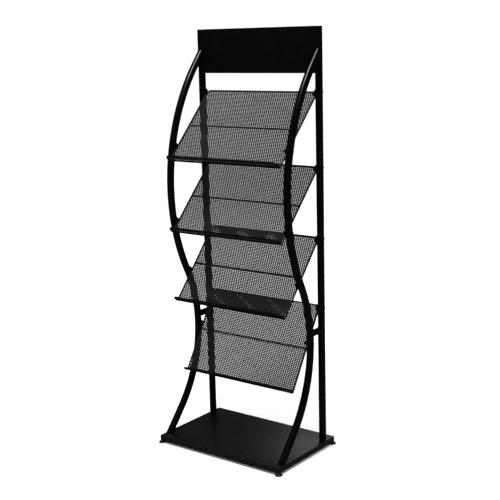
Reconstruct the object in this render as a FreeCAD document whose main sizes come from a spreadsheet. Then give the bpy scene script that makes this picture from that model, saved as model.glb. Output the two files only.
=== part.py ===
import FreeCAD, Part
import math
import os
import re
import Sketcher

# Magazine shelf: a free-standing rack with four sloping shelves of expanded metal
# between two bent side frames.
# Millimetres, X across, front towards -Y, Z up, zero on the floor under the middle of the base.

Vector = FreeCAD.Vector
X_AXIS = Vector(1, 0, 0)
SHELVES = (1, 2, 3, 4)
SIDES = {"left": "-", "right": ""}
CORNERS = {
    "front_left": ("-", "-"),
    "front_right": ("", "-"),
    "rear_left": ("-", ""),
    "rear_right": ("", ""),
}

DRIVING = {
    # Base: a folded tray, open underneath, with a rounded top edge
    "base_width": 500,
    "base_depth": 322,
    "base_height": 17,
    "base_sheet": 1.5,
    "base_corner": 6,
    "base_edge": 2,
    # Tubes of the side frames, the upright plumb at the back
    "tube_spacing": 470,
    "tube_diameter": 24,
    "tube_wall": 1.5,
    "upright_setback": 51,
    "upright_height": 1373,
    "cap_rise": 3,
    "cap_plug": 14,
    "cap_edge": 1.5,
    # Bent front tube: reaches are measured forwards from the upright's axis, on the tube's centre line
    "crown_reach": 181,
    "crown_height": 859,
    "crown_radius": 626,
    "waist_reach": 66,
    "waist_radius": 426,
    "front_foot_reach": 236,
    "joint_height": 1303,
    # Bridge stub between the front tube and the upright, just above the waist
    "stub_diameter": 22,
    "stub_height": 409,
    "stub_wall": 1.5,
    # Header panel between the uprights, folded back on all four sides
    "header_height": 144,
    "header_depth": 12,
    "header_sheet": 1.2,
    "header_edge": 1,
    # Shelves: heights of the bolts that hold them to the uprights and to the front tubes
    "rear_bolt_1": 1174,
    "rear_bolt_2": 939,
    "rear_bolt_3": 711,
    "rear_bolt_4": 483.5,
    "front_bolt_1": 1006,
    "front_bolt_2": 759,
    "front_bolt_3": 580,
    "front_bolt_4": 379.7,
    # Shelf frame: a rod loop with its front bent up as a lip
    "rod_diameter": 6,
    "shelf_length": 306.5,
    "back_overhang": 10.5,
    "lip_height": 25,
    "back_corner": 16,
    "bend_radius": 6,
    "lip_corner": 10,
    "cross_rod_setback": 150.5,
    # Expanded metal on the rods
    "mesh_sheet": 0.8,
    "mesh_strand": 3,
    "mesh_columns": 13,
    "mesh_rows": 21,
    "mesh_border": 4,
    "lip_border": 1.5,
    # Fixing tabs that stand on the side rods
    "tab_thickness": 2,
    "tab_edge": 8,
    "tab_corner": 3,
    "rear_tab_reach": 15,
    "front_tab_reach": 9,
    "bolt_rise": 10,
    # Shelf bolts and nuts
    "bolt_diameter": 6,
    "bolt_head": 9,
    "bolt_head_rise": 2,
    "bolt_socket": 4,
    "bolt_socket_depth": 1.5,
    "bolt_tail": 3,
    "nut_width": 10,
    "nut_thickness": 5,
    # Header screws, driven from behind the panel into the uprights
    "screw_diameter": 4,
    "screw_head": 8,
    "screw_head_rise": 2.5,
    "screw_length": 9,
    "screw_inset": 22,
    # Tube feet: threaded plugs, and bolts from under the base
    "foot_plug_length": 24,
    "base_bolt_reach": 10,
    "base_bolt_head": 4,
    "front_bolt_shift": 4,
    # Levelling feet, one in each corner
    "foot_height": 9,
    "bush_wall": 1.4,
    "stud_diameter": 6,
    "stud_length": 13,
    "collar_width": 10,
    "collar_thickness": 2.8,
    "pad_diameter": 24,
    "pad_thickness": 6,
    "pad_rim": 3.2,
    "pad_crown": 14,
    "pad_bottom_edge": 0.6,
    "socket_diameter": 8,
    "socket_floor": 2.5,
    # Clearances
    "weld_gap": 0.1,
    "seat_gap": 0.05,
    "hole_clearance": 0.2,
    "running_clearance": 0.05,
}

DERIVED = {
    "base_half_width": "base_width / 2",
    "base_half_depth": "base_depth / 2",
    "base_top": "foot_height + base_height",
    "base_underside": "base_top - base_sheet",
    "tray_half_width": "base_half_width - base_sheet",
    "tray_half_depth": "base_half_depth - base_sheet",
    "tray_corner": "base_corner - base_sheet",
    "tray_room": "base_height - base_sheet",
    "tube_x": "tube_spacing / 2",
    "tube_radius": "tube_diameter / 2",
    "tube_bore": "tube_radius - tube_wall",
    "tube_plug": "tube_bore - running_clearance",
    "tube_cut": "tube_radius + weld_gap",
    "upright_y": "base_half_depth - upright_setback",
    "upright_length": "upright_height - base_top",
    "crown_centre_y": "upright_y - crown_reach + crown_radius",
    "waist_centre_y": "upright_y - waist_reach - waist_radius",
    "bend_reach": "crown_radius + waist_radius",
    "waist_height": "crown_height - sqrt(bend_reach^2 - (crown_centre_y - waist_centre_y)^2)",
    "bend_change": "crown_height - (crown_height - waist_height) * crown_radius / bend_reach",
    "front_foot_y": "upright_y - front_foot_reach",
    "front_foot_span": "sqrt((front_foot_y - waist_centre_y)^2 + (base_top - waist_height)^2)",
    "front_foot_turn": "acos(waist_radius / front_foot_span)",
    "front_foot_lean": "atan2(waist_height - base_top; front_foot_y - waist_centre_y) - front_foot_turn",
    "front_plug_start_y": "front_foot_y - foot_plug_length * sin(front_foot_lean)",
    "front_plug_start_z": "base_top - foot_plug_length * cos(front_foot_lean)",
    "front_tube_start": "base_top - tube_diameter",
    "front_base_bolt_y": "front_foot_y + front_bolt_shift",
    "stub_radius": "stub_diameter / 2",
    "stub_bore": "stub_radius - stub_wall",
    "stub_lean": "asin((stub_height - waist_height) / waist_radius)",
    "stub_reach": "upright_y - waist_centre_y - waist_radius * cos(stub_lean)",
    "header_top": "upright_height + cap_rise",
    "header_bottom": "header_top - header_height",
    "header_half_width": "tube_x - tube_radius - seat_gap",
    "header_half_depth": "header_depth / 2",
    "header_fold_x": "header_half_width - header_sheet",
    "header_room": "header_depth - header_sheet",
    "header_room_top": "header_top - header_sheet",
    "header_room_bottom": "header_bottom + header_sheet",
    "upper_screw_z": "header_top - screw_inset",
    "lower_screw_z": "header_bottom + screw_inset",
    "screw_radius": "screw_diameter / 2",
    "screw_hole": "screw_radius + hole_clearance",
    "screw_head_radius": "screw_head / 2",
    "rod_radius": "rod_diameter / 2",
    "tab_outer_x": "tube_x - tube_radius - seat_gap",
    "tab_inner_x": "tab_outer_x - tab_thickness",
    "rod_x": "tab_outer_x - rod_radius",
    "rod_z": "-bolt_rise",
    "tab_low_z": "rod_z + rod_radius",
    "back_rod_y": "back_overhang - rod_radius",
    "lip_rod_y": "back_overhang - shelf_length + rod_radius",
    "lip_rod_z": "rod_z + lip_height",
    "cross_rod_y": "back_rod_y - cross_rod_setback",
    "cross_rod_length": "2 * (rod_x - rod_radius - weld_gap)",
    "front_rod_y": "lip_rod_y + bend_radius - (bend_radius + seat_gap) * sqrt(0.5)",
    "front_rod_z": "rod_z + bend_radius - (bend_radius + seat_gap) * sqrt(0.5)",
    "bolt_radius": "bolt_diameter / 2",
    "bolt_hole": "bolt_radius + hole_clearance",
    "bolt_head_radius": "bolt_head / 2",
    "bolt_head_x": "tube_x + tube_radius + seat_gap",
    "bolt_length": "bolt_head_x - tab_inner_x + nut_thickness + bolt_tail",
    "thread_radius": "bolt_radius + running_clearance",
    "nut_outer_x": "tab_inner_x - seat_gap",
    "stud_radius": "stud_diameter / 2",
    "bush_bore": "stud_radius + running_clearance",
    "bush_radius": "bush_bore + bush_wall",
    "foot_x": "base_half_width - base_corner",
    "foot_y": "base_half_depth - base_corner",
    "pad_radius": "pad_diameter / 2",
    "pad_foot_radius": "pad_radius - pad_bottom_edge",
    "pad_crown_radius": "pad_crown / 2",
    "spigot_radius": "socket_diameter / 2",
    "socket_radius": "spigot_radius + running_clearance",
    "spigot_bottom": "socket_floor + seat_gap",
    "collar_bottom": "foot_height - seat_gap - collar_thickness",
    "collar_top": "foot_height - seat_gap",
    "spigot_length": "collar_bottom - spigot_bottom",
}
for shelf in SHELVES:
    height = f"front_bolt_{shelf}"
    on_crown = f"crown_centre_y - sqrt(crown_radius^2 - ({height} - crown_height)^2)"
    on_waist = f"waist_centre_y + sqrt(waist_radius^2 - ({height} - waist_height)^2)"
    DERIVED[f"front_y_{shelf}"] = f"{height} > bend_change ? {on_crown} : {on_waist}"
    DERIVED[f"run_{shelf}"] = f"upright_y - front_y_{shelf}"
    DERIVED[f"drop_{shelf}"] = f"rear_bolt_{shelf} - {height}"
    DERIVED[f"tilt_{shelf}"] = f"atan2(drop_{shelf}; run_{shelf})"
    DERIVED[f"bolt_span_{shelf}"] = f"sqrt(run_{shelf}^2 + drop_{shelf}^2)"
    DERIVED[f"front_tab_back_{shelf}"] = f"front_tab_reach - bolt_span_{shelf}"
    DERIVED[f"front_tab_front_{shelf}"] = f"-front_tab_reach - bolt_span_{shelf}"

doc = FreeCAD.newDocument("MagazineShelf")
sheet = doc.addObject("Spreadsheet::Sheet", "Sizes")
for row, (name, value) in enumerate(DRIVING.items(), start=1):
    sheet.set(f"A{row}", name)
    sheet.set(f"B{row}", str(value))
    sheet.setAlias(f"B{row}", name)
for row, (name, formula) in enumerate(DERIVED.items(), start=1):
    sheet.set(f"C{row}", name)
    sheet.set(f"D{row}", "=" + formula)
    sheet.setAlias(f"D{row}", name)
doc.recompute()

pieces = []


# Sizes and expressions

def size(name):
    """The number that a size has now."""
    value = sheet.get(name)
    return float(getattr(value, "Value", value))


def signed(text):
    """The number of a size that may have a minus sign in front."""
    return -size(text[1:]) if text.startswith("-") else size(text)


def bind(thing, where, text):
    """Tie a property to sizes of the sheet."""
    thing.setExpression(where, re.sub(r"[a-z_][a-z_0-9]*", r"Sizes.\g<0>", text))


# Sketches

def sketch_on(body, role, name, offset=None):
    """A sketch on one of the body's own planes, moved along the plane's normal by a size."""
    sketch = body.newObject("Sketcher::SketchObject", f"{body.Name}_{name}")
    plane = [feature for feature in body.Origin.OriginFeatures if feature.Role == role]
    sketch.AttachmentSupport = [(plane[0], "")]
    sketch.MapMode = "FlatFace"
    if offset:
        bind(sketch, "AttachmentOffset.Base.z", offset)
    return sketch


def dimension(sketch, kind, place, value, text):
    """A driving constraint tied to a size."""
    index = sketch.addConstraint(Sketcher.Constraint(kind, *place, value))
    bind(sketch, f"Constraints[{index}]", text)


def pin(sketch, geometry, point, across, up):
    """Hold a point of the sketch at two sizes, with None for the sketch's own axis."""
    if across is None:
        sketch.addConstraint(Sketcher.Constraint("PointOnObject", geometry, point, -2))
    else:
        dimension(sketch, "DistanceX", (-1, 1, geometry, point), signed(across), across)
    if up is None:
        sketch.addConstraint(Sketcher.Constraint("PointOnObject", geometry, point, -1))
    else:
        dimension(sketch, "DistanceY", (-1, 1, geometry, point), signed(up), up)


def add_circle(sketch, across, up, radius):
    middle = Vector(signed(across) if across else 0, signed(up) if up else 0, 0)
    circle = sketch.addGeometry(Part.Circle(middle, Vector(0, 0, 1), size(radius)))
    pin(sketch, circle, 3, across, up)
    dimension(sketch, "Radius", (circle,), size(radius), radius)


def add_outline(sketch, corners):
    """A closed outline of straight lines through pinned corners."""
    points = [Vector(signed(a) if a else 0, signed(u) if u else 0, 0) for a, u in corners]
    lines = []
    for start, end in zip(points, points[1:] + points[:1]):
        lines.append(sketch.addGeometry(Part.LineSegment(start, end)))
    for line, following, corner in zip(lines, lines[1:] + lines[:1], corners):
        sketch.addConstraint(Sketcher.Constraint("Coincident", line, 2, following, 1))
        pin(sketch, line, 1, *corner)


def add_rectangle(sketch, left, right, low, high):
    add_outline(sketch, [(left, low), (right, low), (right, high), (left, high)])


def add_rounded_rectangle(sketch, left, right, low, high, corner):
    """Four lines and four tangent arcs, held by the arcs' middles and radii."""
    radius = size(corner)
    turns = [
        (right, "-", low, "+", -90),
        (right, "-", high, "-", 0),
        (left, "+", high, "-", 90),
        (left, "+", low, "+", 180),
    ]
    arcs = []
    for across, in_x, up, in_y, start in turns:
        middle_x = signed(across) + float(in_x + "1") * radius
        middle_y = signed(up) + float(in_y + "1") * radius
        middle = Vector(middle_x, middle_y, 0)
        ring = Part.Circle(middle, Vector(0, 0, 1), radius)
        arc = Part.ArcOfCircle(ring, math.radians(start), math.radians(start + 90))
        index = sketch.addGeometry(arc)
        dimension(sketch, "DistanceX", (-1, 1, index, 3), middle.x, f"{across} {in_x} {corner}")
        dimension(sketch, "DistanceY", (-1, 1, index, 3), middle.y, f"{up} {in_y} {corner}")
        dimension(sketch, "Radius", (index,), radius, corner)
        arcs.append((index, arc))
    for (index, arc), (following, next_arc) in zip(arcs, arcs[1:] + arcs[:1]):
        line = sketch.addGeometry(Part.LineSegment(arc.EndPoint, next_arc.StartPoint))
        sketch.addConstraint(Sketcher.Constraint("Tangent", index, 2, line, 1))
        sketch.addConstraint(Sketcher.Constraint("Tangent", line, 2, following, 1))


def add_hexagon(sketch, across, up, width):
    """Six lines round a middle, with two flats facing up and down."""
    middle = Vector(signed(across) if across else 0, signed(up) if up else 0, 0)
    reach = size(width) / math.sqrt(3)
    angles = [math.radians(60 * step) for step in range(6)]
    points = [middle + Vector(math.cos(a), math.sin(a), 0) * reach for a in angles]
    lines = [sketch.addGeometry(Part.LineSegment(p, q)) for p, q in zip(points, points[1:] + points[:1])]
    ring = sketch.addGeometry(Part.Circle(middle, Vector(0, 0, 1), size(width) / 2), True)
    pin(sketch, ring, 3, across, up)
    dimension(sketch, "Diameter", (ring,), size(width), width)
    for line, following in zip(lines, lines[1:] + lines[:1]):
        sketch.addConstraint(Sketcher.Constraint("Coincident", line, 2, following, 1))
        sketch.addConstraint(Sketcher.Constraint("Tangent", line, ring))
    for line, following in zip(lines[:4], lines[1:5]):
        sketch.addConstraint(Sketcher.Constraint("Equal", line, following))
    sketch.addConstraint(Sketcher.Constraint("Horizontal", lines[1]))


# Features

def add_body(name, across=None, back=None):
    """A body of its own, standing at two sizes on the floor plan."""
    body = doc.addObject("PartDesign::Body", name)
    body.Label = name
    if across:
        bind(body, "Placement.Base.x", across)
    if back:
        bind(body, "Placement.Base.y", back)
    pieces.append(body)
    return body


def seat_on_shelf(piece, shelf):
    """Place a piece in a shelf's own axes: X across, -Y down the slope, zero between the rear bolts."""
    place = Vector(0, size("upright_y"), size(f"rear_bolt_{shelf}"))
    piece.Placement = FreeCAD.Placement(place, FreeCAD.Rotation(X_AXIS, size(f"tilt_{shelf}")))
    bind(piece, "Placement.Base.y", "upright_y")
    bind(piece, "Placement.Base.z", f"rear_bolt_{shelf}")
    bind(piece, "Placement.Rotation.Angle", f"tilt_{shelf}")


def extrude(kind, body, sketch, length, reverse=False, both_ways=False):
    feature = body.newObject(f"PartDesign::{kind}", f"{sketch.Name}_{kind.lower()}")
    feature.Profile = sketch
    feature.SideType = "Symmetric" if both_ways else "One side"
    feature.Reversed = reverse
    bind(feature, "Length", length)
    return feature


def pad(body, sketch, length, reverse=False, both_ways=False):
    return extrude("Pad", body, sketch, length, reverse, both_ways)


def pocket(body, sketch, length, reverse=False, both_ways=False):
    """Cut a sketch out of the body, and see that the cut took something away."""
    doc.recompute()
    before = body.Shape.Volume
    feature = extrude("Pocket", body, sketch, length, reverse, both_ways)
    doc.recompute()
    if body.Shape.Volume >= before:
        raise RuntimeError(f"{feature.Name} cuts nothing")
    return feature


def round_edges(body, feature, radius, wanted):
    """Fillet the edges of a feature that a test picks out."""
    doc.recompute()
    names = [f"Edge{i}" for i, edge in enumerate(feature.Shape.Edges, start=1) if wanted(edge)]
    fillet = body.newObject("PartDesign::Fillet", f"{feature.Name}_fillet")
    fillet.Base = (feature, names)
    bind(fillet, "Radius", radius)


def revolve(body, sketch):
    """Turn a sketch on the XZ plane round the body's Z axis."""
    feature = body.newObject("PartDesign::Revolution", f"{sketch.Name}_revolution")
    feature.Profile = sketch
    feature.ReferenceAxis = (sketch, ["V_Axis"])
    return feature


def mirror_across(body):
    """Repeat everything in the body on the other side of the rack's middle plane."""
    plane = [feature for feature in body.Origin.OriginFeatures if feature.Role == "YZ_Plane"]
    mirror = body.newObject("PartDesign::Mirrored", f"{body.Name}_mirrored")
    shaped = [thing for thing in body.Group if thing.isDerivedFrom("PartDesign::FeatureAddSub")]
    mirror.Originals = shaped
    mirror.MirrorPlane = (plane[0], [""])
    body.Tip = mirror


# Base

def make_base_tray():
    body = add_body("base_tray")
    outside = sketch_on(body, "XY_Plane", "outside", "foot_height")
    wide, deep = "base_half_width", "base_half_depth"
    add_rounded_rectangle(outside, "-" + wide, wide, "-" + deep, deep, "base_corner")
    block = pad(body, outside, "base_height")
    top = size("base_top")
    round_edges(body, block, "base_edge", lambda edge: abs(edge.BoundBox.ZMin - top) < 1e-6)
    inside = sketch_on(body, "XY_Plane", "inside", "foot_height")
    wide, deep = "tray_half_width", "tray_half_depth"
    add_rounded_rectangle(inside, "-" + wide, wide, "-" + deep, deep, "tray_corner")
    pocket(body, inside, "tray_room", reverse=True)
    holes = sketch_on(body, "XY_Plane", "bolt_holes", "base_underside")
    for side in SIDES.values():
        add_circle(holes, side + "tube_x", "upright_y", "bolt_hole")
        add_circle(holes, side + "tube_x", "front_base_bolt_y", "bolt_hole")
    pocket(body, holes, "base_sheet", reverse=True)


def make_corner_bushes():
    body = add_body("corner_bushes")
    rings = sketch_on(body, "XY_Plane", "rings", "foot_height")
    for across, back in CORNERS.values():
        add_circle(rings, across + "foot_x", back + "foot_y", "bush_radius")
        add_circle(rings, across + "foot_x", back + "foot_y", "bush_bore")
    pad(body, rings, "tray_room")


def make_base_bolts():
    body = add_body("base_bolts")
    heads = sketch_on(body, "XY_Plane", "heads", "base_underside")
    shanks = sketch_on(body, "XY_Plane", "shanks", "base_underside")
    for side in SIDES.values():
        for back in ("upright_y", "front_base_bolt_y"):
            add_hexagon(heads, side + "tube_x", back, "nut_width")
            add_circle(shanks, side + "tube_x", back, "bolt_radius")
    pad(body, heads, "base_bolt_head", reverse=True)
    pad(body, shanks, "base_sheet + base_bolt_reach")


# Side frames

def make_upright(name, side):
    body = add_body(f"{name}_upright", side + "tube_x", "upright_y")
    ring = sketch_on(body, "XY_Plane", "ring", "base_top")
    add_circle(ring, None, None, "tube_radius")
    add_circle(ring, None, None, "tube_bore")
    pad(body, ring, "upright_length")
    holes = sketch_on(body, "YZ_Plane", "bolt_holes")
    for shelf in SHELVES:
        add_circle(holes, None, f"rear_bolt_{shelf}", "bolt_hole")
    pocket(body, holes, "2 * tube_diameter", both_ways=True)
    screws = sketch_on(body, "YZ_Plane", "screw_holes")
    add_circle(screws, None, "upper_screw_z", "screw_hole")
    add_circle(screws, None, "lower_screw_z", "screw_hole")
    pocket(body, screws, "tube_diameter", reverse=side == "-")


def make_upright_cap(name, side):
    body = add_body(f"{name}_upright_cap", side + "tube_x", "upright_y")
    disc = sketch_on(body, "XY_Plane", "disc", "upright_height")
    add_circle(disc, None, None, "tube_radius")
    plate = pad(body, disc, "cap_rise")
    top = size("header_top")
    round_edges(body, plate, "cap_edge", lambda edge: abs(edge.BoundBox.ZMin - top) < 1e-6)
    plug = sketch_on(body, "XY_Plane", "plug", "upright_height")
    add_circle(plug, None, None, "tube_plug")
    pad(body, plug, "cap_plug", reverse=True)


def touch_angle(point, centre, radius):
    """Angle on a circle where the line from an outside point touches it."""
    out = point - centre
    return math.atan2(out.y, out.x) + math.acos(radius / out.Length)


def add_front_tube_path(sketch):
    """Foot line, waist arc, crown arc and top line, each tangent to the next."""
    waist = Vector(size("waist_centre_y"), size("waist_height"), 0)
    crown = Vector(size("crown_centre_y"), size("crown_height"), 0)
    foot = Vector(size("front_foot_y"), size("base_top"), 0)
    top = Vector(size("upright_y"), size("joint_height"), 0)
    change = math.atan2(crown.y - waist.y, crown.x - waist.x)
    waist_ring = Part.Circle(waist, Vector(0, 0, 1), size("waist_radius"))
    crown_ring = Part.Circle(crown, Vector(0, 0, 1), size("crown_radius"))
    waist_arc = Part.ArcOfCircle(waist_ring, touch_angle(foot, waist, waist_ring.Radius), change)
    crown_arc = Part.ArcOfCircle(crown_ring, touch_angle(top, crown, crown_ring.Radius), change + math.pi)
    slope = (foot - waist_arc.StartPoint).normalize()
    start = foot + slope * ((size("front_tube_start") - foot.y) / slope.y)
    foot_line = sketch.addGeometry(Part.LineSegment(start, waist_arc.StartPoint))
    waist_arc = sketch.addGeometry(waist_arc)
    top_line = sketch.addGeometry(Part.LineSegment(crown_arc.StartPoint, top))
    crown_arc = sketch.addGeometry(crown_arc)
    foot_point = sketch.addGeometry(Part.Point(foot), True)
    sketch.addConstraint(Sketcher.Constraint("Tangent", foot_line, 2, waist_arc, 1))
    sketch.addConstraint(Sketcher.Constraint("Tangent", waist_arc, 2, crown_arc, 2))
    sketch.addConstraint(Sketcher.Constraint("Tangent", crown_arc, 1, top_line, 1))
    sketch.addConstraint(Sketcher.Constraint("PointOnObject", foot_point, 1, foot_line))
    pin(sketch, foot_point, 1, "front_foot_y", "base_top")
    dimension(sketch, "DistanceY", (-1, 1, foot_line, 1), start.y, "front_tube_start")
    dimension(sketch, "DistanceX", (-1, 1, waist_arc, 3), waist.x, "waist_centre_y")
    dimension(sketch, "Radius", (waist_arc,), waist_ring.Radius, "waist_radius")
    pin(sketch, crown_arc, 3, "crown_centre_y", "crown_height")
    dimension(sketch, "Radius", (crown_arc,), crown_ring.Radius, "crown_radius")
    pin(sketch, top_line, 2, "upright_y", "joint_height")


def make_front_tube(name, side):
    body = add_body(f"{name}_front_tube", side + "tube_x")
    path = sketch_on(body, "YZ_Plane", "path")
    add_front_tube_path(path)
    doc.recompute()
    ring = body.newObject("Sketcher::SketchObject", f"{body.Name}_ring")
    ring.AttachmentSupport = [(path, "Edge1")]
    ring.MapMode = "NormalToEdge"
    add_circle(ring, None, None, "tube_radius")
    add_circle(ring, None, None, "tube_bore")
    pipe = body.newObject("PartDesign::AdditivePipe", f"{body.Name}_pipe")
    pipe.Profile = ring
    pipe.Spine = (path, ["Edge1", "Edge2", "Edge3", "Edge4"])
    # The foot is cut level with the base, and the top is cut to the round of the upright.
    level = sketch_on(body, "XY_Plane", "foot_cut", "base_top")
    add_circle(level, None, "front_foot_y", "tube_spacing")
    pocket(body, level, "2 * tube_diameter")
    mouth = sketch_on(body, "XY_Plane", "mouth", "joint_height - 2 * tube_diameter")
    add_circle(mouth, None, "upright_y", "tube_cut")
    pocket(body, mouth, "4 * tube_diameter", reverse=True)
    holes = sketch_on(body, "YZ_Plane", "bolt_holes")
    for shelf in SHELVES:
        add_circle(holes, f"front_y_{shelf}", f"front_bolt_{shelf}", "bolt_hole")
    pocket(body, holes, "2 * tube_diameter", both_ways=True)


def make_bridge_stub(name, side):
    body = add_body(f"{name}_bridge_stub", side + "tube_x", "upright_y")
    ring = sketch_on(body, "XZ_Plane", "ring")
    add_circle(ring, None, "stub_height", "stub_radius")
    add_circle(ring, None, "stub_height", "stub_bore")
    pad(body, ring, "stub_reach")
    rear_mouth = sketch_on(body, "XY_Plane", "rear_mouth", "stub_height")
    add_circle(rear_mouth, None, None, "tube_cut")
    pocket(body, rear_mouth, "3 * stub_diameter", both_ways=True)
    # The front tube leans a little here, and the mouth leans with it
    front_mouth = sketch_on(body, "XY_Plane", "front_mouth", "stub_height")
    mouth_place = Vector(0, -size("stub_reach"), size("stub_height"))
    mouth_lean = FreeCAD.Rotation(X_AXIS, size("stub_lean"))
    front_mouth.AttachmentOffset = FreeCAD.Placement(mouth_place, mouth_lean)
    bind(front_mouth, "AttachmentOffset.Base.y", "-stub_reach")
    bind(front_mouth, "AttachmentOffset.Rotation.Angle", "stub_lean")
    add_circle(front_mouth, None, None, "tube_cut")
    pocket(body, front_mouth, "3 * stub_diameter", both_ways=True)


def make_upright_foot_plugs():
    body = add_body("upright_foot_plugs")
    discs = sketch_on(body, "XY_Plane", "discs", "base_top")
    bores = sketch_on(body, "XY_Plane", "bores", "base_top")
    for side in SIDES.values():
        add_circle(discs, side + "tube_x", "upright_y", "tube_plug")
        add_circle(bores, side + "tube_x", "upright_y", "thread_radius")
    pad(body, discs, "foot_plug_length")
    pocket(body, bores, "base_bolt_reach + bolt_tail", reverse=True)


def add_primitive(kind, name, sizes):
    """A Part primitive with its sizes and its place tied to the sheet."""
    primitive = doc.addObject(f"Part::{kind}", name)
    for where, text in sizes.items():
        bind(primitive, where, text)
    return primitive


def make_front_foot_plugs():
    """Plugs along the lean of the front tubes, cut level with the base and drilled plumb for bolts."""
    plugs = []
    for name, side in SIDES.items():
        rod = add_primitive("Cylinder", f"{name}_front_plug_rod", {
            "Radius": "tube_plug",
            "Height": "3 * foot_plug_length",
        })
        rod.Placement.Rotation = FreeCAD.Rotation(-X_AXIS, size("front_foot_lean"))
        bind(rod, "Placement.Rotation.Angle", "front_foot_lean")
        bind(rod, "Placement.Base.x", side + "tube_x")
        bind(rod, "Placement.Base.y", "front_plug_start_y")
        bind(rod, "Placement.Base.z", "front_plug_start_z")
        room = add_primitive("Box", f"{name}_front_plug_room", {
            "Length": "2 * tube_diameter",
            "Width": "4 * foot_plug_length",
            "Height": "foot_plug_length",
            "Placement.Base.x": side + "tube_x - tube_diameter",
            "Placement.Base.y": "front_foot_y - 2 * foot_plug_length",
            "Placement.Base.z": "base_top",
        })
        bore = add_primitive("Cylinder", f"{name}_front_plug_bore", {
            "Radius": "thread_radius",
            "Height": "base_bolt_reach + seat_gap",
            "Placement.Base.x": side + "tube_x",
            "Placement.Base.y": "front_base_bolt_y",
            "Placement.Base.z": "base_top",
        })
        level = doc.addObject("Part::Common", f"{name}_front_plug_level")
        level.Base = rod
        level.Tool = room
        plug = doc.addObject("Part::Cut", f"{name}_front_plug")
        plug.Base = level
        plug.Tool = bore
        plugs.append(plug)
    group = doc.addObject("Part::Compound", "front_foot_plugs")
    group.Label = "front_foot_plugs"
    group.Links = plugs
    pieces.append(group)


# Header

def make_header_panel():
    body = add_body("header_panel", None, "upright_y")
    outside = sketch_on(body, "XZ_Plane", "outside", "-header_half_depth")
    add_rectangle(outside, "-header_half_width", "header_half_width", "header_bottom", "header_top")
    block = pad(body, outside, "header_depth")
    front = -size("header_half_depth")
    round_edges(body, block, "header_edge", lambda edge: abs(edge.BoundBox.YMax - front) < 1e-6)
    inside = sketch_on(body, "XZ_Plane", "inside", "-header_half_depth")
    add_rectangle(inside, "-header_fold_x", "header_fold_x", "header_room_bottom", "header_room_top")
    pocket(body, inside, "header_room", reverse=True)
    holes = sketch_on(body, "YZ_Plane", "screw_holes")
    add_circle(holes, None, "upper_screw_z", "screw_hole")
    add_circle(holes, None, "lower_screw_z", "screw_hole")
    pocket(body, holes, "tube_spacing", both_ways=True)


def make_header_screws():
    body = add_body("header_screws", None, "upright_y")
    heads = sketch_on(body, "YZ_Plane", "heads", "header_fold_x - seat_gap")
    shanks = sketch_on(body, "YZ_Plane", "shanks", "header_fold_x - seat_gap")
    for height in ("upper_screw_z", "lower_screw_z"):
        add_circle(heads, None, height, "screw_head_radius")
        add_circle(shanks, None, height, "screw_radius")
    pad(body, heads, "screw_head_rise", reverse=True)
    pad(body, shanks, "screw_length")
    mirror_across(body)


# Shelves

def rounded_loop(corners):
    """A closed wire of straight runs and tangent arcs through corner points with their radii."""
    arcs = []
    for index, (here, radius) in enumerate(corners):
        back = (corners[index - 1][0] - here).normalize()
        on = (corners[(index + 1) % len(corners)][0] - here).normalize()
        half = back.getAngle(on) / 2
        inward = (back + on).normalize()
        middle = here + inward * (radius / math.sin(half) - radius)
        trim = radius / math.tan(half)
        arcs.append(Part.Arc(here + back * trim, middle, here + on * trim))
    edges = []
    for arc, following in zip(arcs, arcs[1:] + arcs[:1]):
        edges.append(arc.toShape())
        edges.append(Part.LineSegment(arc.EndPoint, following.StartPoint).toShape())
    return Part.Wire(edges)


def make_shelf_rim(shelf):
    """The rod loop: a level U at the back and sides, bent up at the front."""
    across, low, high = size("rod_x"), size("rod_z"), size("lip_rod_z")
    back, front = size("back_rod_y"), size("lip_rod_y")
    corners = []
    for sign in (-1, 1):
        side = [
            (Vector(sign * across, front, high), size("lip_corner")),
            (Vector(sign * across, front, low), size("bend_radius")),
            (Vector(sign * across, back, low), size("back_corner")),
        ]
        corners += side if sign < 0 else side[::-1]
    path = rounded_loop(corners)
    start = path.OrderedEdges[0]
    along = start.tangentAt(start.FirstParameter)
    round_section = Part.makeCircle(size("rod_radius"), start.Vertexes[0].Point, along)
    rim = doc.addObject("Part::Feature", f"shelf_{shelf}_rim")
    rim.Label = f"shelf_{shelf}_rim"
    rim.Shape = path.makePipeShell([Part.Wire(round_section)], True, False)
    seat_on_shelf(rim, shelf)
    pieces.append(rim)


def diamond_holes(corner, across, up, width, height, columns, rows):
    """Wires of a staggered field of diamonds, each inside its own rhombic cell."""
    pitch, rise = width / columns, height / rows
    to_side = pitch / 2 * rise / math.hypot(pitch / 2, rise)
    open_share = 1 - size("mesh_strand") / 2 / to_side
    wide, tall = across * (pitch / 2 * open_share), up * (rise * open_share)
    wires = []
    for row in range(1, rows):
        for column in range(columns - row % 2):
            middle = corner + across * (pitch * (column + (1 + row % 2) / 2)) + up * (rise * row)
            tips = [middle + wide, middle + tall, middle - wide, middle - tall]
            wires.append(Part.makePolygon(tips + tips[:1]))
    return wires


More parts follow.
